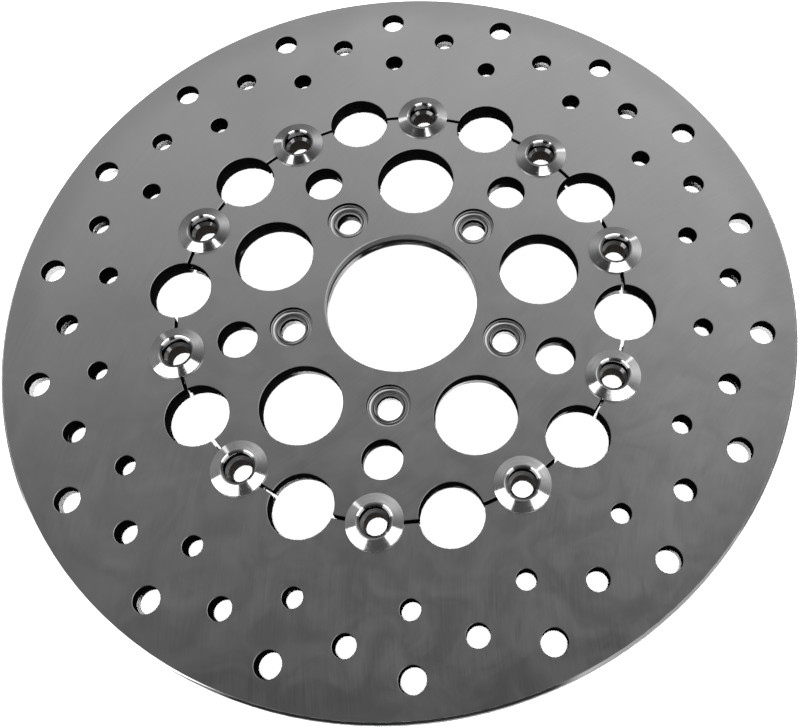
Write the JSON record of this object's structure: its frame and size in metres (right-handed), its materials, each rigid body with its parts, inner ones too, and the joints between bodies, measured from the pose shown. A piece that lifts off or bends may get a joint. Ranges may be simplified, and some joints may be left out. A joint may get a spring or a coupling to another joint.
{
  "type": "brake disc rotor",
  "caption": "Floating motorcycle brake disc: drilled friction ring hung on a flat drilled carrier by hollow bobbins, with a counterbored hub bolt circle.",
  "frame": {"origin": "centre of the hub bore on the carrier's back face, the face that seats on the hub", "axes": "+Z along the disc axis, out of the outer face with the bobbin flanges; +Y through the centre of one large lightening hole and over bobbin 1"},
  "size_m": [0.2921, 0.292, 0.0106],
  "materials": {
    "ring_steel": "fine ground stainless, half polished, faint grinding haze",
    "carrier_steel": "fine ground stainless, half polished",
    "bobbin_steel": "turned and polished stainless with fine circular tool marks",
    "spring_steel": "rolled spring steel, lightly oiled",
    "washer_steel": "bright plated stamped steel",
    "circlip_steel": "dark phosphated spring steel"
  },
  "bodies": {
    "carrier": {"carrier": "carrier_steel", "wave_washer_01": "spring_steel", "wave_washer_02": "spring_steel", "wave_washer_03": "spring_steel", "wave_washer_04": "spring_steel", "wave_washer_05": "spring_steel", "wave_washer_06": "spring_steel", "wave_washer_07": "spring_steel", "wave_washer_08": "spring_steel", "wave_washer_09": "spring_steel", "wave_washer_10": "spring_steel"},
    "friction_ring": {"friction_ring": "ring_steel"},
    "bobbin_unit_01": {"bobbin_01": "bobbin_steel", "flat_washer_01": "washer_steel", "circlip_01": "circlip_steel"},
    "bobbin_unit_02": {"bobbin_02": "bobbin_steel", "flat_washer_02": "washer_steel", "circlip_02": "circlip_steel"},
    "bobbin_unit_03": {"bobbin_03": "bobbin_steel", "flat_washer_03": "washer_steel", "circlip_03": "circlip_steel"},
    "bobbin_unit_04": {"bobbin_04": "bobbin_steel", "flat_washer_04": "washer_steel", "circlip_04": "circlip_steel"},
    "bobbin_unit_05": {"bobbin_05": "bobbin_steel", "flat_washer_05": "washer_steel", "circlip_05": "circlip_steel"},
    "bobbin_unit_06": {"bobbin_06": "bobbin_steel", "flat_washer_06": "washer_steel", "circlip_06": "circlip_steel"},
    "bobbin_unit_07": {"bobbin_07": "bobbin_steel", "flat_washer_07": "washer_steel", "circlip_07": "circlip_steel"},
    "bobbin_unit_08": {"bobbin_08": "bobbin_steel", "flat_washer_08": "washer_steel", "circlip_08": "circlip_steel"},
    "bobbin_unit_09": {"bobbin_09": "bobbin_steel", "flat_washer_09": "washer_steel", "circlip_09": "circlip_steel"},
    "bobbin_unit_10": {"bobbin_10": "bobbin_steel", "flat_washer_10": "washer_steel", "circlip_10": "circlip_steel"}
  },
  "joints": [
    {"name": "ring_float", "type": "slide", "parent": "carrier", "child": "friction_ring", "axis": [0, 0, 1], "range_m": [-0.0004, 0], "stiffness_N_per_m": 100000, "springref_m": 0.0005, "deforming": ["wave_washer_01", "wave_washer_02", "wave_washer_03", "wave_washer_04", "wave_washer_05", "wave_washer_06", "wave_washer_07", "wave_washer_08", "wave_washer_09", "wave_washer_10"]},
    {"name": "bobbin_spin_01", "type": "hinge", "parent": "carrier", "child": "bobbin_unit_01", "pos_m": [0, 0.0831, 0], "axis": [0, 0, 1], "continuous": true},
    {"name": "bobbin_spin_02", "type": "hinge", "parent": "carrier", "child": "bobbin_unit_02", "pos_m": [-0.04884, 0.06723, 0], "axis": [0, 0, 1], "continuous": true},
    {"name": "bobbin_spin_03", "type": "hinge", "parent": "carrier", "child": "bobbin_unit_03", "pos_m": [-0.07903, 0.02568, 0], "axis": [0, 0, 1], "continuous": true},
    {"name": "bobbin_spin_04", "type": "hinge", "parent": "carrier", "child": "bobbin_unit_04", "pos_m": [-0.07903, -0.02568, 0], "axis": [0, 0, 1], "continuous": true},
    {"name": "bobbin_spin_05", "type": "hinge", "parent": "carrier", "child": "bobbin_unit_05", "pos_m": [-0.04884, -0.06723, 0], "axis": [0, 0, 1], "continuous": true},
    {"name": "bobbin_spin_06", "type": "hinge", "parent": "carrier", "child": "bobbin_unit_06", "pos_m": [0, -0.0831, 0], "axis": [0, 0, 1], "continuous": true},
    {"name": "bobbin_spin_07", "type": "hinge", "parent": "carrier", "child": "bobbin_unit_07", "pos_m": [0.04884, -0.06723, 0], "axis": [0, 0, 1], "continuous": true},
    {"name": "bobbin_spin_08", "type": "hinge", "parent": "carrier", "child": "bobbin_unit_08", "pos_m": [0.07903, -0.02568, 0], "axis": [0, 0, 1], "continuous": true},
    {"name": "bobbin_spin_09", "type": "hinge", "parent": "carrier", "child": "bobbin_unit_09", "pos_m": [0.07903, 0.02568, 0], "axis": [0, 0, 1], "continuous": true},
    {"name": "bobbin_spin_10", "type": "hinge", "parent": "carrier", "child": "bobbin_unit_10", "pos_m": [0.04884, 0.06723, 0], "axis": [0, 0, 1], "continuous": true}
  ]
}
